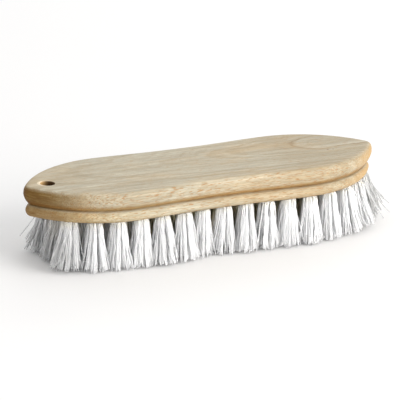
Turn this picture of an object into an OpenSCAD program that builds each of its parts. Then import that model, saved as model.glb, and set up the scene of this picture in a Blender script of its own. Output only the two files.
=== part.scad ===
// Wooden scrub brush: a moulded hardwood block with blind holes drilled in its underside.
// Each hole holds a tuft of stiff filament, folded over a flat steel anchor that spans the hole.
// The block lies along X with its hanging hole at -X, and the cut tips of the tufts stand on z = 0.

/* [Wooden block] */
// Length of the block, tip to tip
block_len = 220; // [185:1:270]
// Width of the block at its two widest places
block_wid = 65; // [54:1:80]
// How far the waist stands in from the widest places, on each side
waist_in = 2; // [0.5:0.1:5]
// Thickness of the block
block_thk = 18; // [16:0.5:26]
// Distance of the widest places from the middle
bulge_x = 55; // [45:1:62]
// Share that the bulge takes in the curve between a widest place and the waist
bulge_share = 0.354; // [0.25:0.001:0.5]
// Radius of the rounded points at the two ends
tip_r = 6; // [5:0.5:9]

/* [Edge moulding] */
// Height of the V groove above the underside
groove_z = 6.8; // [6:0.1:9]
// Depth of the V groove, in from the outline
groove_in = 3.8; // [3.2:0.1:4.2]
// How far the lower bead stands in from the outline
bead_in = 1.3; // [0.4:0.1:2]
// Depth of the bead's rounding
bead_r = 3; // [2:0.1:3.4]
// How far the upper lip of the groove stands in from the outline
lip_in = 3; // [1:0.1:3.1]
// Height of the upper lip above the bottom of the groove
lip_h = 0.7; // [0.3:0.1:1]
// Depth of the rounding between the side and the flat top
top_round = 3.4; // [2:0.1:4.2]

/* [Hanging hole] */
// Diameter of the hanging hole
hang_d = 8; // [5:0.5:9]
// Distance of the hanging hole from the left tip
hang_from_tip = 14; // [12:0.5:17]
// Least wood between the hanging hole and the tuft hole beside it
hang_wall = 1.9; // [1.5:0.1:4]

/* [Tuft holes] */
// Diameter of a tuft hole
hole_d = 6; // [4.5:0.1:7.5]
// Depth of a tuft hole
hole_depth = 10; // [8:0.5:12.5]
// Wood between the V groove and the outer row of holes
groove_wall = 1.2; // [0.8:0.1:2.5]
// Tufts along each long side of the outer row
outer_count = 15; // [8:1:15]
// Tufts along each long side of the inner row
inner_count = 12; // [6:1:12]
// Tufts in the straight row along the middle
centre_count = 11; // [5:1:11]
// Free stretch of the outer row beside the hanging hole, along the row from the left tip
hang_free = 19.5; // [18:0.5:26]
// First step of the inner row, away from its tuft at the right end
inner_first = 17; // [14:0.5:20]
// Distance from the last tufts of the inner row to the first tufts of the middle row, along X
centre_free = 20; // [19:0.5:26]

/* [Tufts] */
// Length of the filament below the underside
bristle_len = 28; // [20:0.5:35]
// Length of the packed root that stands out of the hole
root_out = 1.5; // [0.5:0.1:3]
// Lean of the outer row's tips, away from the middle
outer_lean = 2; // [1:0.1:2.4]
// Lean of the inner row's tips, away from the middle
inner_lean = 1; // [0.6:0.1:1.4]
// Strands round the middle strand of a tuft
side_strands = 5; // [3:1:6]
// Half width of a strand at the root
strand_r = 0.65; // [0.4:0.05:0.7]
// Half width of a strand at the tip
strand_tip_r = 0.95; // [0.5:0.05:1.1]
// Free space between the tips of neighbouring tufts
tuft_gap = 0.5; // [0.3:0.05:2]

/* [Anchors] */
// Thickness of the flat anchor wire
anchor_thk = 0.5; // [0.3:0.05:0.8]
// Width of the flat anchor wire, along the hole
anchor_wid = 2.5; // [1.5:0.1:3.5]
// Thickness of the folded filament between an anchor and the end of its hole
fold_thk = 1.6; // [1:0.1:2.5]

/* [Fits] */
// Clearance between a packed root and its hole, on the radius
root_clear = 0.15; // [0.1:0.05:0.3]
// Clearance round an anchor, to the filament and to the wall of its hole
anchor_clear = 0.05; // [0.02:0.01:0.1]

/* [Hidden] */
wood = [0.86, 0.76, 0.60];
filament = [0.93, 0.94, 0.93];
filament_shade = [0.84, 0.86, 0.85];
steel = [0.70, 0.71, 0.73];
half_len = block_len / 2;
half_wid = block_wid / 2;
half_waist = half_wid - waist_in;
underside = bristle_len;
drill_past = 1;
hang_sides = 48;
hole_sides = 16;

// The outline is made of tangent arcs: the tip, the long end arc, the bulge and the waist.
// The bulge and end arcs both pass through the widest place, so their centres share its x.
bulge_and_waist_r = (pow(bulge_x, 2) + pow(waist_in, 2)) / (2 * waist_in);
bulge_r = bulge_share * bulge_and_waist_r;
waist_r = bulge_and_waist_r - bulge_r;
bulge_turn = asin(bulge_x / bulge_and_waist_r);
tip_x = half_len - tip_r;
end_run = tip_x - bulge_x;
end_r = (pow(end_run, 2) + pow(half_wid, 2) - pow(tip_r, 2)) / (2 * (half_wid - tip_r));
end_y = half_wid - end_r;
end_turn = atan2(end_run, -end_y);
bulge_y = half_wid - bulge_r;
waist_y = half_waist + waist_r;
tip_steps = 4;
end_steps = 8;
bulge_steps = 2;
waist_steps = 3;

// Points of the moulding, each as inset from the outline and height above the underside
lip_z = groove_z + lip_h;
side_z = (lip_z + block_thk) / 2;
side_h = block_thk - side_z;
shoulder_power = 0.75;
lip_power = 1.4;
bead_points = [for (a = [-90:30:60]) [bead_in + bead_r * (1 - cos(a)), groove_z / 2 * (1 + sin(a))]];
lip_points = [for (a = [0:30:90])
    [lip_in * (1 - pow(sin(a), lip_power)), side_z - (side_z - lip_z) * pow(cos(a), lip_power)]];
shoulder_points = [for (a = [20, 42, 62, 78, 90])
    [top_round * (1 - pow(cos(a), shoulder_power)), side_z + side_h * pow(sin(a), shoulder_power)]];
moulding = concat(bead_points, [[groove_in, groove_z]], lip_points, shoulder_points);

// Rows of tufts: the inner row lies halfway between the outer row and the centre line at the waist.
row_in = groove_in + groove_wall + hole_d / 2;
inner_in = (row_in + half_waist) / 2;
outer_pitch = (row_len(row_in) - hang_free) / outer_count;
inner_pitch = (row_len(inner_in) - inner_first) / inner_count;
centre_right = row_point(inner_in, 0).x - centre_free;
centre_left = -centre_right;
centre_pitch = (centre_right - centre_left) / (centre_count - 1);
row_gap = half_waist - inner_in;
tip_spread = (min(outer_pitch, inner_pitch, centre_pitch, row_gap + inner_lean) - tuft_gap) / 2 - strand_tip_r;

root_r = hole_d / 2 - root_clear;
root_sides = 6;
root_flat_r = root_r * cos(180 / root_sides);
root_edge = 0.1;
root_ring_r = root_flat_r - strand_r - root_edge;
root_grip = 1;
anchor_top = underside + hole_depth - fold_thk;
anchor_len = 2 * (sqrt(pow(hole_d / 2, 2) - pow(anchor_thk / 2, 2)) - anchor_clear);
strand_start = underside - root_out + root_grip;
strand_mid = bristle_len / 2;
mid_spread = 0.36;

outer_nose = row_point(row_in, 0);
outer_side = [for (i = [1:outer_count]) row_point(row_in, i * outer_pitch)];
inner_nose = row_point(inner_in, 0);
inner_side = [for (i = [0:inner_count - 1]) row_point(inner_in, inner_first + i * inner_pitch)];
heel_limit = half_len - hang_from_tip - hang_d / 2 - hang_wall - hole_d / 2;
inner_heel = [-min(row_tip(inner_in).x, heel_limit), 0, -1, 0];
centre_row = [for (i = [0:centre_count - 1]) [centre_left + i * centre_pitch, 0, 0, 0]];
all_tufts = concat(
    [outer_nose],
    outer_side,
    [for (t = outer_side) to_front(t)],
    [inner_nose, inner_heel],
    inner_side,
    [for (t = inner_side) to_front(t)],
    centre_row
);

// Points of one arc, each as x, y and the outward normal; turn is measured from +Y towards +X.
function arc_points(cx, cy, r, from, to, steps) = [for (i = [0:steps - 1])
    let (a = from + (to - from) * i / steps)
    [cx + r * sin(a), cy + r * cos(a), sin(a), cos(a)]];

// Points of the hollow waist arc, whose centre lies outside the block
function waist_points(inset, from, to, steps) = [for (i = [0:steps - 1])
    let (a = from + (to - from) * i / steps)
    [(waist_r + inset) * sin(a), waist_y - (waist_r + inset) * cos(a), -sin(a), cos(a)]];

// The back right quarter of the outline, from the right tip to the middle
quarter = concat(
    arc_points(tip_x, 0, tip_r, 90, end_turn, tip_steps),
    arc_points(bulge_x, end_y, end_r, end_turn, 0, end_steps),
    arc_points(bulge_x, bulge_y, bulge_r, 0, -bulge_turn, bulge_steps),
    waist_points(0, bulge_turn, 0, waist_steps)
);
quarter_end = [[0, half_waist, 0, 1]];
quarter_len = len(quarter);

function to_front(p) = [p.x, -p.y, p[2], -p[3]];
function to_left(p) = [-p.x, p.y, -p[2], p[3]];

back_half = concat(quarter, quarter_end, [for (i = [quarter_len - 1:-1:0]) to_left(quarter[i])]);
outline = concat(back_half, [for (i = [len(back_half) - 2:-1:1]) to_front(back_half[i])]);

// Arc lengths of a row that runs at a steady inset from the outline, from the right tip to the left tip
function row_end_turn(inset) = acos(-end_y / (end_r - inset));
function row_end_len(inset) = row_end_turn(inset) * PI / 180 * (end_r - inset);
function row_bulge_len(inset) = bulge_turn * PI / 180 * (bulge_r - inset);
function row_waist_len(inset) = bulge_turn * PI / 180 * (waist_r + inset);
function row_len(inset) = 2 * (row_end_len(inset) + row_bulge_len(inset) + row_waist_len(inset));

// Place on such a row at the arc length s from the right tip, with the outward direction
function row_point(inset, s) =
    s > row_len(inset) / 2 ? to_left(row_point(inset, row_len(inset) - s)) :
    s <= 0 ? row_tip(inset) :
    s < row_end_len(inset) ? row_end_point(inset, s) :
    s < row_end_len(inset) + row_bulge_len(inset) ? row_bulge_point(inset, s - row_end_len(inset)) :
    row_waist_point(inset, s - row_end_len(inset) - row_bulge_len(inset));

function row_tip(inset) = [bulge_x + (end_r - inset) * sin(row_end_turn(inset)), 0, 1, 0];

function row_end_point(inset, s) = let (
    r = end_r - inset,
    a = row_end_turn(inset) - s / r * 180 / PI
) [bulge_x + r * sin(a), end_y + r * cos(a), sin(a), cos(a)];

function row_bulge_point(inset, s) = let (
    r = bulge_r - inset,
    a = -s / r * 180 / PI
) [bulge_x + r * sin(a), bulge_y + r * cos(a), sin(a), cos(a)];

function row_waist_point(inset, s) = let (
    r = waist_r + inset,
    a = bulge_turn - s / r * 180 / PI
) [r * sin(a), waist_y - r * cos(a), -sin(a), cos(a)];

// The moulded body of the block, one ring of points for each point of the moulding
module moulded_body() {
    around = len(outline);
    levels = len(moulding);
    points = [for (m = moulding, p = outline) [p.x - p[2] * m[0], p.y - p[3] * m[0], underside + m[1]]];
    sides = [for (j = [0:levels - 2], i = [0:around - 1])
        let (k = (i + 1) % around)
        each [
            [j * around + i, (j + 1) * around + i, (j + 1) * around + k],
            [j * around + i, (j + 1) * around + k, j * around + k]
        ]];
    bottom = [for (i = [0:around - 1]) i];
    lid = [for (i = [around - 1:-1:0]) (levels - 1) * around + i];
    polyhedron(points, concat(sides, [bottom, lid]));
}

// A bar across the hole at a place on its row, for an anchor and for the slot that it leaves in the root
module cross_bar(at, thk, long, wid) {
    translate([at.x, at.y, anchor_top - anchor_wid / 2]) cube([thk, long, wid], center = true);
}

module wood_block() {
    color(wood) difference() {
        moulded_body();
        translate([hang_from_tip - half_len, 0, underside - drill_past])
            cylinder(h = block_thk + 2 * drill_past, d = hang_d, $fn = hang_sides);
        for (t = all_tufts)
            translate([t.x, t.y, underside - drill_past])
                cylinder(h = hole_depth + drill_past, d = hole_d, $fn = hole_sides);
    }
}

module staple_anchors() {
    color(steel) for (t = all_tufts) cross_bar(t, anchor_thk, anchor_len, anchor_wid);
}

// One strand of three sides through a list of places, each as x, y, z and half width
module strand(places, turn) {
    sides = 3;
    last = len(places) - 1;
    points = [for (p = places, k = [0:sides - 1])
        let (a = turn + k * 360 / sides)
        [p.x + p[3] * cos(a), p.y + p[3] * sin(a), p.z]];
    walls = [for (j = [0:last - 1], i = [0:sides - 1])
        let (k = (i + 1) % sides)
        each [
            [j * sides + i, j * sides + k, (j + 1) * sides + k],
            [j * sides + i, (j + 1) * sides + k, (j + 1) * sides + i]
        ]];
    ends = [[2, 1, 0], [last * sides, last * sides + 1, last * sides + 2]];
    polyhedron(points, concat(walls, ends));
}

// A tuft at a place on its row: its packed root in the hole, and strands that spread to the cut tips
module tuft(at, lean, bent) {
    out = atan2(at[3], at[2]);
    tip = [at.x + lean * at[2], at.y + lean * at[3]];
    difference() {
        union() {
            translate([at.x, at.y, underside - root_out])
                cylinder(h = root_out + hole_depth - root_clear, r = root_r, $fn = root_sides);
            strand([
                [at.x, at.y, strand_start, strand_r],
                [tip.x, tip.y, 0, strand_tip_r]
            ], out);
            for (k = [0:side_strands - 1]) {
                turn = out + 180 / side_strands + k * 360 / side_strands;
                way = [cos(turn), sin(turn)];
                root = [at.x, at.y] + root_ring_r * way;
                end = tip + tip_spread * way;
                mid = root + mid_spread * (end - root);
                places = concat(
                    [[root.x, root.y, strand_start, strand_r]],
                    bent ? [[mid.x, mid.y, strand_mid, (strand_r + strand_tip_r) / 2]] : [],
                    [[end.x, end.y, 0, strand_tip_r]]
                );
                strand(places, turn);
            }
        }
        cross_bar(at, anchor_thk + 2 * anchor_clear, hole_d, anchor_wid + 2 * anchor_clear);
    }
}

module outer_tuft(at) {
    color(filament) tuft(at, outer_lean, true);
}

module inner_tuft(at) {
    color(filament_shade) tuft(at, inner_lean, false);
}

module centre_row_tufts() {
    color(filament_shade) for (t = centre_row) tuft(t, 0, false);
}

wood_block();
staple_anchors();
outer_tuft(outer_nose);  // nose_tuft
for (i = [1:outer_count]) {
    outer_tuft(to_front(outer_side[i - 1]));
    outer_tuft(outer_side[i - 1]);
}
inner_tuft(inner_nose);  // inner_nose_tuft
inner_tuft(inner_heel);  // inner_heel_tuft
for (i = [1:inner_count]) {
    inner_tuft(to_front(inner_side[i - 1]));
    inner_tuft(inner_side[i - 1]);
}
centre_row_tufts();
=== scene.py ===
"""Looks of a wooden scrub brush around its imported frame: the moulded block, its tufts and a stage.

Lengths are in metres. The block lies along X with its hanging hole at -X.
"""

import math

import bpy
import numpy as np
from bpy.props import FloatProperty, FloatVectorProperty, IntProperty, PointerProperty
from mathutils import Matrix, Vector


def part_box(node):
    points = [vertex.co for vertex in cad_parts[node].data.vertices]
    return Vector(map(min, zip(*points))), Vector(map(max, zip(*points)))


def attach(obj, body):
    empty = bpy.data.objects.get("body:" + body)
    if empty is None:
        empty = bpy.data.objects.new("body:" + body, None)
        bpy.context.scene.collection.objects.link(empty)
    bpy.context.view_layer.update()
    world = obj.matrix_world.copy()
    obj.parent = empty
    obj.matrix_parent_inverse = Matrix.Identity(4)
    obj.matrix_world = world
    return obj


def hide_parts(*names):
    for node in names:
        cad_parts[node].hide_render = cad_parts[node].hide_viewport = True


bl_info = {
    "name": "Scrub Brush",
    "version": (1, 0, 0),
    "blender": (4, 5, 0),
    "location": "3D View > Sidebar > Scrub Brush",
    "description": "Builds the wooden block, the filament tufts and the stage of a scrub brush",
    "category": "Add Mesh",
}

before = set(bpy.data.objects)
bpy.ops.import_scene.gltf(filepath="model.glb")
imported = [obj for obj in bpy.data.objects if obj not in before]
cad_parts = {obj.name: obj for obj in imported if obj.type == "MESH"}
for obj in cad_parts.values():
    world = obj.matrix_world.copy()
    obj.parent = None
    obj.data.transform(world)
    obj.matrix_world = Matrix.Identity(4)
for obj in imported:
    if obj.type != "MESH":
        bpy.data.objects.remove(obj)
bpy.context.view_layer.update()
BLOCK_LOW, BLOCK_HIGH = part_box("wood_block")
UNDERSIDE, TOP = BLOCK_LOW.z, BLOCK_HIGH.z
BODY = "root"
MM = 0.001
CLUMPS = 16


class BlockSettings(bpy.types.PropertyGroup):
    """Sizes and colours of the wooden block."""

    length: FloatProperty(
        name="Length", description="Length from tip to tip",
        default=BLOCK_HIGH.x - BLOCK_LOW.x, unit="LENGTH")
    width: FloatProperty(
        name="Width", description="Width at the two widest places",
        default=BLOCK_HIGH.y - BLOCK_LOW.y, unit="LENGTH")
    waist_in: FloatProperty(
        name="Waist", description="How far the waist stands in on each side",
        default=2.0 * MM, unit="LENGTH")
    bulge_place: FloatProperty(
        name="Widest place", description="Distance of the widest places from the middle",
        default=55.0 * MM, unit="LENGTH")
    bulge_share: FloatProperty(
        name="Bulge share", description="Share of the bulge in the curve down to the waist",
        default=0.354)
    tip_radius: FloatProperty(
        name="Tip radius", description="Radius of the rounded points",
        default=6.0 * MM, unit="LENGTH")
    groove_height: FloatProperty(
        name="Groove height", description="Height of the V groove above the underside",
        default=6.8 * MM, unit="LENGTH")
    groove_in: FloatProperty(
        name="Groove depth", description="Depth of the V groove, in from the outline",
        default=3.8 * MM, unit="LENGTH")
    bead_in: FloatProperty(
        name="Bead inset", description="How far the lower bead stands in",
        default=1.3 * MM, unit="LENGTH")
    bead_round: FloatProperty(
        name="Bead rounding", description="Depth of the bead's rounding",
        default=3.0 * MM, unit="LENGTH")
    lip_in: FloatProperty(
        name="Lip inset", description="How far the lip above the groove stands in",
        default=3.0 * MM, unit="LENGTH")
    lip_height: FloatProperty(
        name="Lip height", description="Height of the lip above the bottom of the groove",
        default=0.7 * MM, unit="LENGTH")
    top_round: FloatProperty(
        name="Shoulder", description="Depth of the rounding below the flat top",
        default=3.4 * MM, unit="LENGTH")
    hang_diameter: FloatProperty(
        name="Hanging hole", description="Diameter of the hanging hole",
        default=8.0 * MM, unit="LENGTH")
    hang_from_tip: FloatProperty(
        name="Hole from tip", description="Distance of the hanging hole from the left tip",
        default=14.0 * MM, unit="LENGTH")
    hang_rim: FloatProperty(
        name="Hole rim", description="Worn rounding of the hanging hole's edges",
        default=0.9 * MM, unit="LENGTH")
    hole_diameter: FloatProperty(
        name="Tuft hole", description="Diameter of a tuft hole",
        default=6.0 * MM, unit="LENGTH")
    hole_depth: FloatProperty(
        name="Tuft hole depth", description="Depth of a tuft hole",
        default=10.0 * MM, unit="LENGTH")
    pale_wood: FloatVectorProperty(
        name="Pale wood", description="Colour between the growth rings",
        default=(0.582, 0.540, 0.422), subtype="COLOR", size=3)
    ring_wood: FloatVectorProperty(
        name="Ring wood", description="Colour of the growth rings",
        default=(0.402, 0.324, 0.205), subtype="COLOR", size=3)
    pore_wood: FloatVectorProperty(
        name="Pores", description="Colour of the open pores",
        default=(0.418, 0.209, 0.070), subtype="COLOR", size=3)
    # End grain brown, also used as dirt and painted shade in the groove
    end_grain_and_shade_brown: FloatVectorProperty(
        name="End grain", description="Colour of end grain and of the groove",
        default=(0.232, 0.145, 0.060), subtype="COLOR", size=3)


class TuftSettings(bpy.types.PropertyGroup):
    """Sizes and colours of the filament tufts."""

    filament: FloatProperty(
        name="Filament", description="Diameter of one filament",
        default=0.72 * MM, unit="LENGTH")
    count: IntProperty(
        name="Filaments", description="Filaments in a tuft", default=130)
    root_radius: FloatProperty(
        name="Root radius", description="Radius of the packed filaments in the hole",
        default=2.6 * MM, unit="LENGTH")
    spread: FloatProperty(
        name="Spread", description="Radius of a tuft at its tips",
        default=8.3 * MM, unit="LENGTH")
    end_lean: FloatProperty(
        name="End lean", description="Extra lean of the outer tufts at the two ends",
        default=4.5 * MM, unit="LENGTH")
    bright: FloatVectorProperty(
        name="Bright filament", description="Colour of the brightest filaments",
        default=(0.715, 0.72, 0.73), subtype="COLOR", size=3)
    dull: FloatVectorProperty(
        name="Dull filament", description="Colour of the dullest filaments",
        default=(0.64, 0.645, 0.655), subtype="COLOR", size=3)


class StageSettings(bpy.types.PropertyGroup):
    """Camera, light and floor."""

    azimuth: FloatProperty(
        name="Azimuth", description="Camera direction; 0 looks along +Y",
        default=math.radians(-27.6), subtype="ANGLE")
    elevation: FloatProperty(
        name="Elevation", description="Camera height above the horizon",
        default=math.radians(19.2), subtype="ANGLE")
    roll: FloatProperty(
        name="Roll", description="Turn of the camera about its own axis",
        default=math.radians(2.0), subtype="ANGLE")
    distance: FloatProperty(
        name="Distance", description="Camera distance from its target",
        default=1.765, unit="LENGTH")
    focal: FloatProperty(
        name="Focal length", description="Focal length in millimetres", default=279.7)
    aim_right: FloatProperty(
        name="Aim right", description="Sideways place of the target, from the block's middle",
        default=-0.7 * MM, unit="LENGTH")
    aim_up: FloatProperty(
        name="Aim up", description="Upward place of the target, from the block's underside",
        default=-4.1 * MM, unit="LENGTH")
    floor: FloatProperty(
        name="Floor", description="Side of the square floor", default=9.0, unit="LENGTH")
    key_power: FloatProperty(
        name="Key light", description="Power of the large soft light", default=24.0)
    sky: FloatProperty(
        name="Sky", description="Strength of the even light from all round", default=0.75)


# Small helpers


def select_only(*objects):
    """Selects these objects and nothing else, the first one active."""
    bpy.ops.object.select_all(action="DESELECT")
    for piece in objects:
        piece.select_set(True)
    bpy.context.view_layer.objects.active = objects[0]


def points_of(mesh):
    """The vertex places of a mesh as an array of rows."""
    places = np.zeros(len(mesh.vertices) * 3)
    mesh.vertices.foreach_get("co", places)
    return places.reshape(-1, 3)


def move_points(mesh, places):
    """Puts every vertex of a mesh at its row of an array."""
    mesh.vertices.foreach_set("co", np.asarray(places, np.float32).ravel())
    mesh.update()


def own_copy(piece, name):
    """A copy of a piece with its own mesh."""
    copy = piece.copy()
    copy.data = piece.data.copy()
    copy.name = copy.data.name = name
    bpy.context.collection.objects.link(copy)
    return copy


def arc(centre, radius, start, stop, steps):
    """Points of an arc with their outward normals; a turn is measured from +Y towards +X."""
    turns = np.linspace(start, stop, steps, endpoint=False)
    ways = np.column_stack([np.sin(turns), np.cos(turns)])
    return np.hstack([np.array(centre) + radius * ways, ways])


def set_material(piece, material):
    """Gives a piece one material."""
    piece.data.materials.clear()
    piece.data.materials.append(material)


class Nodes:
    """Adds nodes to a node tree and links them."""

    def __init__(self, tree):
        self.tree = tree

    def put(self, value, socket):
        """Links an output to a socket, or sets the socket's own value."""
        if isinstance(value, bpy.types.NodeSocket):
            self.tree.links.new(value, socket)
        elif hasattr(socket.default_value, "__len__") and len(value) < len(socket.default_value):
            socket.default_value = (*value, 1.0)
        else:
            socket.default_value = value

    def add(self, kind, inputs=(), **settings):
        """A node of this kind, its settings and its inputs by name or number."""
        node = self.tree.nodes.new(kind)
        for key, value in settings.items():
            setattr(node, key, value)
        for key, value in dict(inputs).items():
            self.put(value, node.inputs[key])
        return node

    def math(self, operation, first, second=0.0, third=0.0, clamp=False):
        """One step of arithmetic."""
        return self.add("ShaderNodeMath", {0: first, 1: second, 2: third},
                        operation=operation, use_clamp=clamp).outputs[0]

    def product(self, first, *others):
        """The product of two or more values."""
        for other in others:
            first = self.math("MULTIPLY", first, other)
        return first

    def vector(self, operation, first, second=(0.0, 0.0, 0.0)):
        """One step of vector arithmetic."""
        return self.add("ShaderNodeVectorMath", {0: first, 1: second}, operation=operation)

    def split(self, vector):
        """The x, y and z of a vector."""
        return self.add("ShaderNodeSeparateXYZ", {0: vector}).outputs

    def length(self, first, second):
        """How far off a point is that lies these two distances away, at right angles."""
        flat = self.add("ShaderNodeCombineXYZ", {0: first, 1: second})
        return self.vector("LENGTH", flat.outputs[0]).outputs["Value"]

    def smooth(self, value, low, high, start=0.0, end=1.0):
        """A smooth step from start at low to end at high."""
        return self.add(
            "ShaderNodeMapRange",
            {"Value": value, "From Min": low, "From Max": high, "To Min": start, "To Max": end},
            interpolation_type="SMOOTHSTEP").outputs["Result"]

    def mix(self, share, first, second, blend="MIX"):
        """A blend of two colours."""
        first_colour, second_colour, blended = 6, 7, 2
        node = self.add("ShaderNodeMix", data_type="RGBA", blend_type=blend)
        self.put(share, node.inputs["Factor"])
        self.put(first, node.inputs[first_colour])
        self.put(second, node.inputs[second_colour])
        return node.outputs[blended]

    def noise(self, place, stretch, detail=2.0, roughness=0.5, seed=0.0):
        """Stretched grain over a place in millimetres, with its features per millimetre."""
        return self.add(
            "ShaderNodeGroup",
            {"Place": place, "Stretch": stretch, "Detail": detail, "Roughness": roughness,
             "Seed": seed},
            node_tree=grain_group()).outputs["Grain"]


def grain_group():
    """The node group for grain that every material shares: noise stretched along the fibres."""
    name = "stretched_grain"
    if name in bpy.data.node_groups:
        return bpy.data.node_groups[name]
    group = bpy.data.node_groups.new(name, "ShaderNodeTree")
    for socket in ("Place", "Stretch"):
        group.interface.new_socket(socket, in_out="INPUT", socket_type="NodeSocketVector")
    for socket in ("Detail", "Roughness", "Seed"):
        group.interface.new_socket(socket, in_out="INPUT", socket_type="NodeSocketFloat")
    group.interface.new_socket("Grain", in_out="OUTPUT", socket_type="NodeSocketFloat")
    nodes = Nodes(group)
    given = nodes.add("NodeGroupInput").outputs
    scaled = nodes.add("ShaderNodeMapping", {
        "Vector": given["Place"], "Location": given["Seed"], "Scale": given["Stretch"]})
    noise = nodes.add("ShaderNodeTexNoise", {
        "Vector": scaled.outputs[0], "Scale": 1.0, "Detail": given["Detail"],
        "Roughness": given["Roughness"]})
    nodes.add("NodeGroupOutput", {"Grain": noise.outputs[0]})
    return group


class Finish(Nodes):
    """The nodes of one material."""

    def __init__(self, name):
        self.material = bpy.data.materials.new(name)
        self.material.use_nodes = True
        super().__init__(self.material.node_tree)
        self.shader = self.tree.nodes["Principled BSDF"]

    def millimetres(self):
        """The place on the object, in millimetres."""
        place = self.vector("SCALE", self.add("ShaderNodeTexCoord").outputs["Object"])
        place.inputs["Scale"].default_value = 1 / MM
        return place.outputs[0]

    def relief(self, height, strength, depth):
        """The normal of a surface with this fine relief."""
        return self.add(
            "ShaderNodeBump",
            {"Height": height, "Strength": strength, "Distance": depth}).outputs[0]

    def finish(self, **inputs):
        """Puts the finished values on the shader, named with underscores for spaces."""
        for key, value in inputs.items():
            self.put(value, self.shader.inputs[key.replace("_", " ")])
        return self.material


# Wooden block


def block_outline(block):
    """The block's outline, from the right tip round, as rows of x, y and outward normal."""
    tip_steps, end_steps, bulge_steps, waist_steps = 9, 24, 5, 8
    half_wid = block.width / 2
    half_waist = half_wid - block.waist_in
    bend = (block.bulge_place**2 + block.waist_in**2) / (2 * block.waist_in)
    bulge_r = block.bulge_share * bend
    waist_r = bend - bulge_r
    bulge_turn = math.asin(block.bulge_place / bend)
    tip_x = block.length / 2 - block.tip_radius
    run = tip_x - block.bulge_place
    end_r = (run**2 + half_wid**2 - block.tip_radius**2) / (2 * (half_wid - block.tip_radius))
    end_y = half_wid - end_r
    end_turn = math.atan2(run, -end_y)
    waist = arc((0, 0), waist_r, bulge_turn, 0, waist_steps)
    waist = waist * (1, -1, -1, 1) + (0, half_waist + waist_r, 0, 0)
    quarter = np.vstack([
        arc((tip_x, 0), block.tip_radius, math.pi / 2, end_turn, tip_steps),
        arc((block.bulge_place, end_y), end_r, end_turn, 0, end_steps),
        arc((block.bulge_place, half_wid - bulge_r), bulge_r, 0, -bulge_turn, bulge_steps),
        waist,
    ])
    middle = np.array([[0, half_waist, 0, 1]])
    back = np.vstack([quarter, middle, quarter[::-1] * (-1, 1, -1, 1)])
    return np.vstack([back, back[-2:0:-1] * (1, -1, 1, -1)])


def block_moulding(block):
    """The edge moulding as rows of inset from the outline and height above the underside."""
    shoulder_power, lip_power = 0.75, 1.4
    thick = TOP - UNDERSIDE
    lip_z = block.groove_height + block.lip_height
    side_z = (lip_z + thick) / 2
    bead = np.radians(np.linspace(-90, 64, 12))
    lip = np.radians(np.linspace(0, 90, 8))
    shoulder = np.radians([10, 20, 31, 42, 53, 63, 72, 80, 86, 90])
    return np.vstack([
        np.column_stack([
            block.bead_in + block.bead_round * (1 - np.cos(bead)),
            block.groove_height / 2 * (1 + np.sin(bead))]),
        [[block.groove_in, block.groove_height - block.lip_height / 4]],
        [[block.groove_in, block.groove_height + block.lip_height / 4]],
        np.column_stack([
            block.lip_in * (1 - np.sin(lip) ** lip_power),
            side_z - (side_z - lip_z) * np.cos(lip).clip(0) ** lip_power]),
        np.column_stack([
            block.top_round * (1 - np.cos(shoulder) ** shoulder_power),
            side_z + (thick - side_z) * np.sin(shoulder) ** shoulder_power]),
    ])


def stack_rings(name, rings):
    """A closed solid through rings of points: a filled circle, extruded from ring to ring."""
    bpy.ops.object.select_all(action="DESELECT")
    bpy.ops.mesh.primitive_circle_add(
        vertices=len(rings[0]), radius=rings[0].max(), fill_type="NGON")
    piece = bpy.context.object
    piece.name = piece.data.name = name
    move_points(piece.data, rings[0])
    for before, ring in zip(rings, rings[1:]):
        bpy.ops.object.mode_set(mode="EDIT")
        bpy.ops.mesh.select_mode(type="FACE")
        bpy.ops.mesh.extrude_region_move(
            TRANSFORM_OT_translate={"value": (0, 0, ring[0, 2] - before[0, 2])})
        bpy.ops.object.mode_set(mode="OBJECT")
        places = points_of(piece.data)
        moved = np.array([v.index for v in piece.data.vertices if v.select])
        apart = np.linalg.norm(places[moved][:, None, :2] - before[None, :, :2], axis=2)
        places[moved] = ring[apart.argmin(axis=1)]
        move_points(piece.data, places)
    return piece


def block_rings(block):
    """One ring of points for each point of the moulding."""
    around = block_outline(block)
    return [
        np.column_stack([around[:, :2] - inset * around[:, 2:],
                         np.full(len(around), UNDERSIDE + height)])
        for inset, height in block_moulding(block)
    ]


def hang_place(block):
    """Centre of the hanging hole, on the block's axis."""
    return block.hang_from_tip - block.length / 2


def hang_cutter(block):
    """What the hanging hole takes out of the block, with a worn rounding at both faces."""
    sides, past = 56, 1.0 * MM
    turns = np.linspace(0, 2 * math.pi, sides, endpoint=False)
    flare = [
        (block.hang_rim * (1 - math.sin(a)), block.hang_rim * (1 - math.cos(a)))
        for a in np.radians([0, 25, 50, 75, 90])
    ]
    profile = [(past + block.hang_rim, UNDERSIDE - past)]
    profile += [(wide, UNDERSIDE + deep) for wide, deep in flare]
    profile += [(wide, TOP - deep) for wide, deep in reversed(flare)]
    profile += [(past + block.hang_rim, TOP + past)]
    rings = []
    for wide, z in profile:
        radius = block.hang_diameter / 2 + wide
        rings.append(np.column_stack([
            hang_place(block) + radius * np.cos(turns), radius * np.sin(turns),
            np.full(sides, z)]))
    return stack_rings("hang_cutter", rings)


def tuft_places():
    """For each tuft node, the place of each of its tufts in the hole and at the tips."""
    level, clear = 0.5 * MM, 5.0 * MM
    found = {}
    for name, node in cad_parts.items():
        if "tuft" not in name:
            continue
        places = points_of(node.data)
        ends = []
        for z in (places[:, 2].max(), 0.0):
            row = places[abs(places[:, 2] - z) < level]
            ends.append(row[row[:, 0].argsort()])
        starts = np.flatnonzero(np.diff(ends[0][:, 0]) > clear) + 1
        roots = [part.mean(axis=0)[:2] for part in np.split(ends[0], starts)]
        nearest = [
            np.argmin([abs(x - root[0]) for root in roots]) for x in ends[1][:, 0]
        ]
        found[name] = [
            (root, ends[1][np.array(nearest) == k].mean(axis=0)[:2])
            for k, root in enumerate(roots)
        ]
    return found


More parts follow.
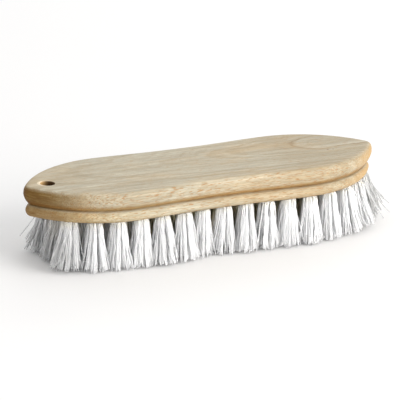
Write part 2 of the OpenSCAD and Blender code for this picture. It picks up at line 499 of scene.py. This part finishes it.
def hole_cutter(block, roots):
    """What the tuft holes take out of the block."""
    past = 1.0 * MM
    depth = block.hole_depth + past
    bpy.ops.object.select_all(action="DESELECT")
    bpy.ops.mesh.primitive_cylinder_add(
        vertices=28, radius=block.hole_diameter / 2, depth=depth,
        location=(*roots[0], UNDERSIDE - past + depth / 2))
    first = bpy.context.object
    others = []
    for root in roots[1:]:
        hole = own_copy(first, "hole")
        hole.location = (*root, first.location.z)
        others.append(hole)
    select_only(first, *others)
    bpy.ops.object.join()
    bpy.ops.object.transform_apply(location=True, rotation=True, scale=True)
    return first


def cut_away(piece, cutter):
    """Takes a cutter out of a piece."""
    select_only(piece)
    cut = piece.modifiers.new("cut", "BOOLEAN")
    cut.operation = "DIFFERENCE"
    cut.solver = "EXACT"
    cut.object = cutter
    bpy.ops.object.modifier_apply(modifier=cut.name)
    bpy.data.objects.remove(cutter)


def close_flat_faces(piece):
    """Insets the flat top and underside a little, so that their shading stays flat."""
    margin, most_sides = 0.7 * MM, 4
    select_only(piece)
    for face in piece.data.polygons:
        face.select = len(face.vertices) > most_sides
    bpy.ops.object.mode_set(mode="EDIT")
    bpy.ops.mesh.select_mode(type="FACE")
    bpy.ops.mesh.inset(thickness=margin, use_individual=True)
    bpy.ops.object.mode_set(mode="OBJECT")


class Wood(Finish):
    """The nodes of the block's wood and the values that its layers share, in millimetres."""

    figure_radius = 10.0

    def __init__(self, block):
        super().__init__("pale_hardwood")
        self.block = block
        self.half_len = block.length / 2 / MM
        self.top, self.underside = TOP / MM, UNDERSIDE / MM
        self.place = self.millimetres()
        self.x, self.y, self.z = self.split(self.place)
        normal = self.split(self.add("ShaderNodeNewGeometry").outputs["Normal"])
        self.across = self.math("ABSOLUTE", normal[0])
        self.level = self.math("ABSOLUTE", normal[2])
        self.on_top = self.smooth(self.z, self.top - 1.2, self.top - 0.5)
        self.fibre = self.noise(
            self.place, (0.03, 1.3, 1.3), detail=5.0, roughness=0.68, seed=7.0)
        self.mottle = self.noise(
            self.place, (0.14, 0.14, 1.3), detail=4.0, roughness=0.65, seed=23.0)
        pores = self.noise(self.place, (0.26, 2.3, 2.3), detail=1.0, seed=19.0)
        self.pores = self.smooth(pores, 0.56, 0.66)

    def from_axis(self, axis_x, axis_y=0.0):
        """Distance from an upright axis through this place."""
        return self.length(self.math("SUBTRACT", self.x, axis_x),
                           self.math("SUBTRACT", self.y, axis_y))

    def from_heart(self):
        """Distance from the heart of the tree, wavy as growth rings are.

        The heart lies under the top face and climbs to the right, where it comes out of that
        face, so the rings round it end there in a rounded figure.
        """
        apex_x, heart_y, climb = 64.0, 8.6, 0.16
        rise_from, rise_to = apex_x - 3.0, apex_x + 18.0
        long_wave, short_wave, height_share = 9.0, 6.0, 0.5
        warp = self.noise(self.place, (0.016, 0.05, 0.05))
        warp = self.math("MULTIPLY_ADD", warp, long_wave, -long_wave / 2)
        warp = self.product(warp, self.smooth(self.x, 10.0, 55.0, 1.0, 0.45))
        wander = self.noise(self.place, (0.07, 0.11, 0.11))
        wander = self.math("MULTIPLY_ADD", wander, short_wave, -short_wave / 2)
        warp = self.math("ADD", warp, wander)
        depth = self.math("MULTIPLY_ADD", self.x, -climb, climb * apex_x)
        depth = self.math("MAXIMUM", depth, 0.0)
        rise = self.smooth(self.x, rise_from, rise_to, self.figure_radius, 0.0)
        depth = self.math("SUBTRACT", self.math("ADD", depth, rise), self.top)
        up = self.math("ADD", self.math("ADD", self.z, depth), self.product(warp, height_share))
        side = self.math("ADD", self.math("SUBTRACT", self.y, heart_y), warp)
        return self.length(side, up)

    def ringed(self):
        """Pale wood with growth rings, one of which outlines the figure near the right end."""
        pale_wood, ring_wood = tuple(self.block.pale_wood), tuple(self.block.ring_wood)
        line_brown, most = (0.22, 0.12, 0.05), 0.80
        radius = self.from_heart()
        rings = self.add(
            "ShaderNodeTexNoise",
            {"W": radius, "Scale": 0.42, "Detail": 3.0, "Roughness": 0.6},
            noise_dimensions="1D").outputs[0]
        strength = self.smooth(self.x, -60.0, 75.0, 0.45, 0.75)
        rings = self.product(self.smooth(rings, 0.40, 0.68), strength, most)
        colour = self.mix(rings, pale_wood, ring_wood)
        near = self.smooth(self.x, 35.0, 55.0)
        off_line = self.math("ABSOLUTE", self.math("SUBTRACT", radius, self.figure_radius))
        line = self.product(self.smooth(off_line, 0.10, 0.65, most, 0.0), near)
        colour = self.mix(line, colour, line_brown)
        beyond = self.smooth(radius, self.figure_radius - 1.2, self.figure_radius, 0.10, 0.40)
        return self.mix(self.product(beyond, near), colour, ring_wood)

    def streaked(self, colour):
        """Long streaks and soft blotches along the grain."""
        blotch_tan, streak_most, blotch_most = (0.626, 0.43, 0.21), 0.45, 0.28
        streak = self.noise(
            self.place, (0.006, 0.30, 0.30), detail=3.0, roughness=0.55, seed=3.0)
        streak = self.product(self.smooth(streak, 0.36, 0.68), streak_most)
        colour = self.mix(streak, colour, tuple(self.block.ring_wood))
        blotch = self.noise(
            self.place, (0.022, 0.05, 0.05), detail=3.0, roughness=0.55, seed=11.0)
        blotch = self.product(self.smooth(blotch, 0.44, 0.70), blotch_most)
        return self.mix(blotch, colour, blotch_tan)

    def sanded(self, colour):
        """Fibres, sanding lines and open pores, with painted shade that greys the sides a little
        against the top.
        """
        painted_flank_shade = (0.96, 0.96, 0.96)
        sanding = self.noise(self.place, (0.10, 2.4, 2.4), roughness=0.6, seed=29.0)
        shade = self.product(self.smooth(self.fibre, 0.34, 0.66, 0.83, 1.10),
                             self.smooth(sanding, 0.35, 0.65, 0.92, 1.06))
        shade = self.add("ShaderNodeCombineXYZ", {0: shade, 1: shade, 2: shade}).outputs[0]
        colour = self.mix(1.0, colour, shade, "MULTIPLY")
        pores = self.product(self.pores, self.smooth(self.level, 0.6, 0.95, 0.75, 0.35))
        colour = self.mix(pores, colour, tuple(self.block.pore_wood))
        # Painted shade: the sides are greyed a little against the top, by how steeply they face
        painted_flank_share = self.smooth(self.level, 0.55, 0.95, 1.0, 0.0)
        return self.mix(painted_flank_share, colour, painted_flank_shade, "MULTIPLY")

    def end_grained(self, colour):
        """End grain where the surface turns across the fibres, darker at the left tip, and a brown
        stain round that tip; both are partly painted shade, as the left tip faces away from the
        light.
        """
        honey, left_stain_and_shade, left_stain_and_shade_end = (0.52, 0.30, 0.085), (0.60, 0.44, 0.16), -72.0
        end = self.product(
            self.smooth(self.across, 0.30, 0.90),
            self.smooth(self.mottle, 0.30, 0.62, 0.45, 1.0),
            self.smooth(self.x, -self.half_len, self.half_len, 1.0, 0.85))
        # End grain is real; its darker brown at the left tip, which faces away from the light, is
        # partly painted shade
        end_tint_and_shade = self.mix(self.smooth(self.x, -20.0, 90.0), tuple(self.block.end_grain_and_shade_brown), honey)
        colour = self.mix(end, colour, end_tint_and_shade)
        # Painted shade with a brown stain round the left tip, which faces away from the light;
        # weaker on the bead
        left_stain_and_shade_share = self.product(
            self.smooth(self.x, -self.half_len, left_stain_and_shade_end, 1.0, 0.0),
            self.smooth(self.z, self.top - 2.4, self.top - 0.2, 1.0, 0.0),
            self.smooth(self.z, self.underside + 6.0, self.underside + 7.5, 0.45, 1.0))
        return self.mix(left_stain_and_shade_share, colour, left_stain_and_shade, "MULTIPLY")

    def moulded(self, colour):
        """A groove browned with dirt and painted shade, painted shade on the lip above it and along
        the lower edge, and a golden bead.
        """
        lip_painted_shade, lower_edge_painted_shade = (0.78, 0.58, 0.33), (0.80, 0.66, 0.46)
        bead_gold = (1.10, 0.98, 0.76)
        above = self.math("SUBTRACT", self.z, (UNDERSIDE + self.block.groove_height) / MM)
        # The groove is darkened with the end grain brown: partly dirt, partly painted shade in the
        # recess
        groove = self.smooth(self.math("ABSOLUTE", above), 0.1, 0.6, 0.45, 0.0)
        colour = self.mix(groove, colour, tuple(self.block.end_grain_and_shade_brown))
        # Painted shade on the lip, which turns under above the groove
        lip = self.product(self.smooth(above, -0.1, 0.2), self.smooth(above, 1.4, 4.6, 1.0, 0.0))
        colour = self.mix(lip, colour, lip_painted_shade, "MULTIPLY")
        # Painted shade, mottled, along the bead's lower edge, which turns away from the light
        lower_edge_shade_share = self.product(
            self.smooth(self.z, self.underside + 0.3, self.underside + 2.2, 1.0, 0.0),
            self.smooth(self.mottle, 0.3, 0.6, 0.35, 0.75))
        colour = self.mix(lower_edge_shade_share, colour, lower_edge_painted_shade, "MULTIPLY")
        bead = self.product(
            self.smooth(above, -1.2, -0.4, 1.0, 0.0),
            self.smooth(self.x, -self.half_len, -30.0, 1.0, 0.2))
        return self.mix(bead, colour, bead_gold, "MULTIPLY")

    def knotted(self, colour):
        """Two pin knots in the top face, beside the figure."""
        knots, knot_brown = ((78.6, -4.8), (82.0, -5.3)), (0.17, 0.08, 0.03)
        for knot_x, knot_y in knots:
            knot = self.smooth(self.from_axis(knot_x, knot_y), 0.2, 0.8, 0.75, 0.0)
            colour = self.mix(self.product(knot, self.on_top), colour, knot_brown)
        return colour

    def drilled(self, colour):
        """The hanging hole, with a pale worn rim that is wider on its left, and painted light and
        shade on its walls inside.
        """
        hole_x, hole_r = hang_place(self.block) / MM, self.block.hang_diameter / 2 / MM
        worn_tan, worn_left, inside_most = (0.83, 0.71, 0.52), 1.7, 0.95
        painted_lit_wall, painted_shaded_wall = (0.66, 0.42, 0.18), (0.06, 0.028, 0.008)
        around, around_left = self.from_axis(hole_x), self.from_axis(hole_x - worn_left)
        worn = self.math(
            "MAXIMUM", self.smooth(around, hole_r + 0.6, hole_r + 1.1, 0.35, 0.0),
            self.smooth(around_left, hole_r - 0.2, hole_r + 0.7, 0.9, 0.0))
        colour = self.mix(self.product(worn, self.on_top), colour, worn_tan)
        # Painted light and shade inside the hole: a lit left wall fading to a dark right wall
        inside = self.product(
            self.smooth(around, hole_r + 0.3, hole_r + 0.7, 1.0, 0.0),
            self.smooth(self.z, self.top - 0.6, self.top - 0.15, 1.0, 0.0), inside_most)
        painted_wall_light = self.mix(
            self.smooth(self.x, hole_x - 3.0, hole_x + 2.6), painted_lit_wall, painted_shaded_wall)
        return self.mix(inside, colour, painted_wall_light)


def wood_material(block):
    """Pale sanded hardwood, built up layer by layer."""
    wood = Wood(block)
    fibre_height, strength, depth = 0.5, 0.45, 0.14 * MM
    colour = wood.ringed()
    for layer in (wood.streaked, wood.sanded, wood.end_grained, wood.moulded, wood.knotted,
                  wood.drilled):
        colour = layer(colour)
    height = wood.math("SUBTRACT", wood.product(wood.fibre, fibre_height), wood.pores)
    return wood.finish(
        Base_Color=colour, Roughness=wood.smooth(wood.fibre, 0.3, 0.7, 0.50, 0.62),
        Normal=wood.relief(height, strength, depth), Specular_IOR_Level=0.2)


class ScrubBrushAddBlock(bpy.types.Operator):
    """Models the wooden block with its moulding, hanging hole and tuft holes"""

    bl_idname = "scrub_brush.add_block"
    bl_label = "Wooden Block"

    def execute(self, context):
        block, crease = context.scene.scrub_block, math.radians(38)
        piece = stack_rings("wooden_block", block_rings(block))
        select_only(piece)
        bpy.ops.object.mode_set(mode="EDIT")
        bpy.ops.mesh.select_all(action="SELECT")
        bpy.ops.mesh.normals_make_consistent(inside=False)
        bpy.ops.object.mode_set(mode="OBJECT")
        close_flat_faces(piece)
        cut_away(piece, hang_cutter(block))
        roots = [root for tufts in tuft_places().values() for root, tip in tufts]
        cut_away(piece, hole_cutter(block, roots))
        select_only(piece)
        bpy.ops.object.shade_smooth_by_angle(angle=crease)
        set_material(piece, wood_material(block))
        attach(piece, BODY)
        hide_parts("wood_block")
        return {"FINISHED"}


# Tufts


def straight_filament(tufts, top):
    """One straight filament from inside the hole to its tip, cut into rings of points."""
    sides, cuts, ring_crowding, tip_taper = 4, 9, 1.4, 0.8
    bpy.ops.object.select_all(action="DESELECT")
    bpy.ops.mesh.primitive_cylinder_add(
        vertices=sides, radius=tufts.filament / 2, depth=top, end_fill_type="NGON",
        location=(0, 0, top / 2))
    piece = bpy.context.object
    piece.name = piece.data.name = "filament"
    bpy.ops.object.transform_apply(location=True, rotation=False, scale=False)
    bpy.ops.object.mode_set(mode="EDIT")
    bpy.ops.mesh.select_mode(type="EDGE")
    bpy.ops.mesh.select_all(action="DESELECT")
    bpy.ops.object.mode_set(mode="OBJECT")
    places = points_of(piece.data)
    for edge in piece.data.edges:
        low, high = (places[v][2] for v in edge.vertices)
        edge.select = bool(abs(high - low) > top / 2)
    bpy.ops.object.mode_set(mode="EDIT")
    bpy.ops.mesh.subdivide(number_cuts=cuts)
    bpy.ops.object.mode_set(mode="OBJECT")
    places = points_of(piece.data)
    steps = np.rint(places[:, 2] / top * (cuts + 1))
    free = steps <= cuts
    places[free, 2] = UNDERSIDE * (1 - (1 - steps[free] / cuts) ** ring_crowding)
    tip = steps == 0
    places[tip, :2] *= tip_taper
    move_points(piece.data, places)
    return piece


def straight_tuft(tufts, top):
    """A tuft of straight filaments, packed round the axis and apart from the anchor's plane."""
    golden = math.pi * (3 - math.sqrt(5))
    anchor_clear = 0.58 * MM
    first = straight_filament(tufts, top)
    strands = []
    for i in range(tufts.count):
        reach = tufts.root_radius * math.sqrt((i + 0.5) / tufts.count)
        x, y = reach * math.cos(i * golden), reach * math.sin(i * golden)
        strand = own_copy(first, "strand")
        strand.location = (math.copysign(max(abs(x), anchor_clear), x), y, 0)
        strand.rotation_euler.z = i * golden
        strands.append(strand)
    select_only(*strands)
    bpy.ops.object.join()
    bpy.ops.object.transform_apply(location=True, rotation=True, scale=True)
    bpy.ops.object.shade_smooth()
    bpy.data.objects.remove(first)
    return strands[0]


def end_splay(root, reach):
    """How far a tuft belongs to the splayed ones, from 0 in the middle to 1 at the ends."""
    splay_from, splay_run, full_reach = 72 * MM, 22 * MM, 2 * MM
    end = np.clip((abs(root[0]) - splay_from) / splay_run, 0, 1)
    return end * min(reach / full_reach, 1)


def gather(draw, own):
    """Sorts filaments by place into clumps; gives each one's clump and the clump's middle."""
    turn, loose = 2.4, 0.10
    turns = draw.uniform(0, 2 * math.pi) + np.arange(CLUMPS) * turn
    middles = np.column_stack([np.cos(turns), np.sin(turns)])
    middles *= np.sqrt((np.arange(CLUMPS) + 0.5) / CLUMPS)[:, None]
    middles += draw.normal(0, loose, middles.shape)
    member = np.linalg.norm(own[:, None] - middles[None], axis=2).argmin(axis=1)
    return member, middles[member]


def spread_tips(draw, tufts, own, root, tip):
    """Each filament's tip seen from above, its clump, and whether it flies away."""
    count, no_lean, lean_jitter, tip_jitter = len(own), 0.1 * MM, 1.0 * MM, 0.65 * MM
    end_spread, clumped = 0.25, 0.14
    stray_share, end_stray, stray_jitter, stray_out = 0.08, 0.02, 2.0 * MM, (1 * MM, 9 * MM)
    flyaway_share, flyaway_splay, flyaway_out = 0.04, 0.6, (4 * MM, 8 * MM)
    lean = tip - root
    reach = np.linalg.norm(lean)
    out = lean / reach if reach > no_lean else np.zeros(2)
    splay = end_splay(root, reach)
    lean = lean + out * tufts.end_lean * splay + draw.normal(0, lean_jitter, 2)
    spread = tufts.spread * draw.uniform(0.90, 1.10) * (1 + end_spread * splay)

    member, middles = gather(draw, own)
    target = ((1 - clumped) * own + clumped * middles) * spread + lean
    target += draw.normal(0, tip_jitter, target.shape)
    stray = draw.random(count) < stray_share + end_stray * splay
    kick = draw.normal(0, stray_jitter, target.shape)
    kick += out * splay * draw.uniform(*stray_out, (count, 1))
    target += kick * stray[:, None]
    flyaway = (draw.random(count) < flyaway_share) & (splay > flyaway_splay)
    target += flyaway[:, None] * (out * draw.uniform(*flyaway_out, (count, 1)))
    return target, member, flyaway


def outward_share(draw, fall, member):
    """How much of its way out a filament has gone: it swells below the hole, then runs on."""
    count, swell_depth = len(member), 0.5 * MM
    swell = 1 - np.exp(-fall * UNDERSIDE / swell_depth)
    clump_swell = draw.uniform(0.20, 0.30, CLUMPS)[member][:, None]
    swell *= clump_swell + draw.uniform(-0.08, 0.08, (count, 1))
    return swell + (1 - swell) * fall ** draw.uniform(1.0, 1.6, count)[:, None]


def add_crimp(draw, path, fall, member):
    """Waves the filaments in two sizes and lengths, in millimetres; clump mates wave together."""
    count, crimps = len(member), ((0.34, 15.0), (0.16, 6.5))
    for size, length in crimps:
        phase = draw.uniform(0, 2 * math.pi, CLUMPS)[member] + draw.normal(0, 1.0, count)
        way = draw.uniform(0, 2 * math.pi, CLUMPS)[member] + draw.normal(0, 0.8, count)
        beat = np.sin(fall * UNDERSIDE / MM * 2 * math.pi / length + phase[:, None])
        beat *= size * MM * np.clip(fall * 4, 0, 1) * draw.uniform(0.5, 1.3, count)[:, None]
        path += beat[..., None] * np.column_stack([np.cos(way), np.sin(way)])[:, None]


def tip_heights(draw, across, flyaway):
    """Height of each tip: a filament that leans keeps its length, so its tip stands higher."""
    spare, trim, flyaway_rise, lowest, highest = (
        0.4 * MM, 1.4 * MM, 2.5 * MM, 0.05 * MM, 9 * MM)
    drop = np.sqrt(np.maximum((UNDERSIDE + spare) ** 2 - across**2, 0))
    ragged = np.abs(draw.normal(0, trim, len(across))) + flyaway * flyaway_rise
    return np.clip(UNDERSIDE - drop + ragged, lowest, highest)


def shaped_tuft(places, tufts, root, tip, seed):
    """The straight tuft's points, spread, clumped, waved and trimmed as this tuft's are."""
    draw = np.random.default_rng(seed)
    strands = places.reshape(tufts.count, -1, 3)
    axis = strands[:, :, :2].mean(axis=1)
    ring = strands[:, :, :2] - axis[:, None]
    fall = np.clip(1 - strands[:, :, 2] / UNDERSIDE, 0, 1)
    target, member, flyaway = spread_tips(draw, tufts, axis / tufts.root_radius, root, tip)
    share = outward_share(draw, fall, member)
    path = axis[:, None] * (1 - share[..., None]) + target[:, None] * share[..., None]
    add_crimp(draw, path, fall, member)
    foot = tip_heights(draw, np.linalg.norm(target - axis, axis=1), flyaway)
    z = np.where(fall > 0, UNDERSIDE - fall * (UNDERSIDE - foot[:, None]), strands[:, :, 2])
    shaped = np.dstack([root + path + ring, z])
    tone = np.repeat(np.where(flyaway, 0, draw.random(tufts.count)), strands.shape[1])
    return shaped.reshape(-1, 3), tone


def filament_material(tufts):
    """White plastic filament: each has its own tone, with painted shade and warm bounce light near
    its root.
    """
    nodes = Finish("white_filament")
    place = nodes.millimetres()
    x, y, z = nodes.split(place)
    underside, row_half_len, row_half_wid = UNDERSIDE / MM, 98.0, 24.0
    end_painted_grey, root_painted_shade, inner_painted_bounce = (0.52, 0.52, 0.51), (0.50, 0.46, 0.33), (1.05, 0.94, 0.66)
    tone = nodes.add("ShaderNodeAttribute", attribute_name="tone").outputs["Fac"]
    blotch = nodes.noise(place, (0.5, 0.5, 0.12), seed=5.0)
    share = nodes.math("MULTIPLY_ADD", blotch, 0.6, nodes.product(tone, 0.7), clamp=True)
    colour = nodes.mix(share, tuple(tufts.dull), tuple(tufts.bright))

    # Painted shade greys the tufts at both ends, and painted shade with warm bounce light yellows
    # those behind the outer row
    painted_end_shade = nodes.math("ADD", nodes.smooth(x, -104.0, -80.0, 0.7, 0.0),
                         nodes.smooth(x, 97.0, 110.0, 0.0, 0.8))
    colour = nodes.mix(painted_end_shade, colour, end_painted_grey, "MULTIPLY")
    # Painted shade with warm bounce light from the wood near the roots
    painted_root_shade = nodes.smooth(z, underside - 5.0, underside, 0.0, 0.30)
    colour = nodes.mix(painted_root_shade, colour, root_painted_shade)
    # Painted shade with warm bounce light on the tufts behind the outer row, from their roots down
    outwards = nodes.math(
        "ADD", nodes.math("POWER", nodes.math("DIVIDE", x, row_half_len), 2.0),
        nodes.math("POWER", nodes.math("DIVIDE", y, row_half_wid), 2.0))
    painted_inner_shade = nodes.product(nodes.smooth(outwards, 0.55, 1.0, 1.0, 0.0),
                          nodes.smooth(z, 2.0, 16.0, 0.0, 0.9))
    colour = nodes.mix(painted_inner_shade, colour, inner_painted_bounce, "MULTIPLY")

    grain = nodes.noise(place, (6.0, 6.0, 1.2), seed=9.0)
    nodes.shader.subsurface_method = "BURLEY"
    return nodes.finish(
        Base_Color=colour, Roughness=nodes.smooth(grain, 0.3, 0.7, 0.50, 0.64),
        Normal=nodes.relief(grain, 0.2, 0.04 * MM), Subsurface_Weight=0.9,
        Subsurface_Radius=(1.0, 1.0, 1.0), Subsurface_Scale=2.4 * MM)


class ScrubBrushAddTufts(bpy.types.Operator):
    """Models every tuft as waved filaments that spread from its hole to the trimmed tips"""

    bl_idname = "scrub_brush.add_tufts"
    bl_label = "Filament Tufts"

    def execute(self, context):
        tufts, block = context.scene.scrub_tufts, context.scene.scrub_block
        hole_clear, seed = 0.6 * MM, 100
        top = UNDERSIDE + block.hole_depth - hole_clear
        straight = straight_tuft(tufts, top)
        places = points_of(straight.data)
        set_material(straight, filament_material(tufts))
        straight.data.attributes.new("tone", "FLOAT", "POINT")
        for node, ends in sorted(tuft_places().items()):
            made = []
            for root, tip in ends:
                seed += 1
                shaped, tone = shaped_tuft(places, tufts, root, tip, seed)
                tuft = own_copy(straight, node + "_filament")
                move_points(tuft.data, shaped)
                tuft.data.attributes["tone"].data.foreach_set("value", tone.astype(np.float32))
                made.append(tuft)
            select_only(*made)
            if len(made) > 1:
                bpy.ops.object.join()
            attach(made[0], BODY)
            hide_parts(node)
        bpy.data.objects.remove(straight)
        return {"FINISHED"}


# Anchors


def steel_material():
    """Drawn flat steel wire with fine lengthways lines."""
    steel = Finish("drawn_steel")
    dark, pale = (0.42, 0.43, 0.44), (0.66, 0.67, 0.68)
    lines = steel.noise(
        steel.millimetres(), (9.0, 0.6, 9.0), detail=3.0, roughness=0.6, seed=2.0)
    return steel.finish(
        Base_Color=steel.mix(lines, dark, pale),
        Roughness=steel.smooth(lines, 0.3, 0.7, 0.28, 0.45), Metallic=1.0)


class ScrubBrushFinishAnchors(bpy.types.Operator):
    """Gives the flat anchors in the tuft holes their drawn steel"""

    bl_idname = "scrub_brush.finish_anchors"
    bl_label = "Anchors"

    def execute(self, context):
        set_material(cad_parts["staple_anchors"], steel_material())
        return {"FINISHED"}


# Stage


def facing(azimuth, elevation, roll):
    """Turn of a camera on this side of the object; its columns are right, up and back."""
    back = Vector((math.sin(azimuth) * math.cos(elevation),
                   -math.cos(azimuth) * math.cos(elevation), math.sin(elevation)))
    right = Vector((math.cos(azimuth), math.sin(azimuth), 0))
    up = back.cross(right)
    turned = right * math.cos(roll) + up * math.sin(roll)
    return Matrix((turned, back.cross(turned), back)).transposed()


def add_light(name, place, size, power, colour):
    """A square soft light that points at the object."""
    place = Vector(place)
    aim = (-place).to_track_quat("-Z", "Y").to_euler()
    bpy.ops.object.light_add(type="AREA", location=place, rotation=aim)
    light = bpy.context.object
    light.name = name
    light.data.shape = "SQUARE"
    light.data.size = size
    light.data.energy = power
    light.data.color = colour


def floor_material():
    """Pale paper sweep with a trace of tooth."""
    paper = Finish("pale_paper")
    shade, light = (0.98, 0.98, 0.985), (0.99, 0.99, 0.99)
    tooth = paper.noise(paper.millimetres(), (0.9, 0.9, 0.9), seed=1.0)
    return paper.finish(Base_Color=paper.mix(tooth, shade, light), Roughness=0.9)


class ScrubBrushAddStage(bpy.types.Operator):
    """Adds the pale floor, the soft light and the camera"""

    bl_idname = "scrub_brush.add_stage"
    bl_label = "Stage"

    def execute(self, context):
        stage, white = context.scene.scrub_stage, (1.0, 1.0, 1.0, 1.0)
        floor_drop, sensor_width, nearest = 0.1 * MM, 36.0, 0.05
        key_place, key_size, key_colour = (0.85, -1.18, 0.50), 1.2, (1.0, 0.97, 0.93)
        rim_place, rim_size, rim_colour = (0.9, 1.1, 0.5), 0.9, (1.0, 0.99, 0.97)
        rim_share = 0.14
        bpy.ops.object.select_all(action="DESELECT")
        bpy.ops.mesh.primitive_plane_add(size=stage.floor, location=(0, 0, -floor_drop))
        floor = context.object
        floor.name = "floor"
        set_material(floor, floor_material())

        world = bpy.data.worlds.new("studio")
        world.use_nodes = True
        sky = world.node_tree.nodes["Background"]
        sky.inputs["Color"].default_value = white
        sky.inputs["Strength"].default_value = stage.sky
        context.scene.world = world
        add_light("key", key_place, key_size, stage.key_power, key_colour)
        add_light("rim", rim_place, rim_size, stage.key_power * rim_share, rim_colour)

        turn = facing(stage.azimuth, stage.elevation, stage.roll)
        target = Vector((0, 0, UNDERSIDE)) + turn.col[0] * stage.aim_right
        target += turn.col[1] * stage.aim_up
        bpy.ops.object.camera_add(
            location=target + turn.col[2] * stage.distance, rotation=turn.to_euler())
        camera = context.object
        camera.name = "camera"
        camera.data.lens = stage.focal
        camera.data.sensor_width = sensor_width
        camera.data.clip_start = nearest
        context.scene.camera = camera
        context.scene.view_settings.view_transform = "Standard"
        return {"FINISHED"}


class ScrubBrushPanel(bpy.types.Panel):
    """Lists the steps and sizes of the scrub brush"""

    bl_idname = "VIEW3D_PT_scrub_brush"
    bl_label = "Scrub Brush"
    bl_space_type = "VIEW_3D"
    bl_region_type = "UI"
    bl_category = "Scrub Brush"

    def draw(self, context):
        for group, steps in PANEL_ROWS:
            box = self.layout.box()
            settings = getattr(context.scene, group)
            for name in settings.bl_rna.properties.keys():
                if name not in ("rna_type", "name"):
                    box.prop(settings, name)
            for step in steps:
                box.operator(step.bl_idname)


PANEL_ROWS = (
    ("scrub_block", (ScrubBrushAddBlock,)),
    ("scrub_tufts", (ScrubBrushAddTufts, ScrubBrushFinishAnchors)),
    ("scrub_stage", (ScrubBrushAddStage,)),
)
CLASSES = (
    BlockSettings, TuftSettings, StageSettings, ScrubBrushAddBlock, ScrubBrushAddTufts,
    ScrubBrushFinishAnchors, ScrubBrushAddStage, ScrubBrushPanel,
)


def register():
    for kind in CLASSES:
        bpy.utils.register_class(kind)
    bpy.types.Scene.scrub_block = PointerProperty(type=BlockSettings)
    bpy.types.Scene.scrub_tufts = PointerProperty(type=TuftSettings)
    bpy.types.Scene.scrub_stage = PointerProperty(type=StageSettings)


def unregister():
    del bpy.types.Scene.scrub_stage
    del bpy.types.Scene.scrub_tufts
    del bpy.types.Scene.scrub_block
    for kind in reversed(CLASSES):
        bpy.utils.unregister_class(kind)


def main():
    register()
    bpy.ops.scrub_brush.add_block()
    bpy.ops.scrub_brush.add_tufts()
    bpy.ops.scrub_brush.finish_anchors()
    bpy.ops.scrub_brush.add_stage()


if __name__ == "__main__":
    main()
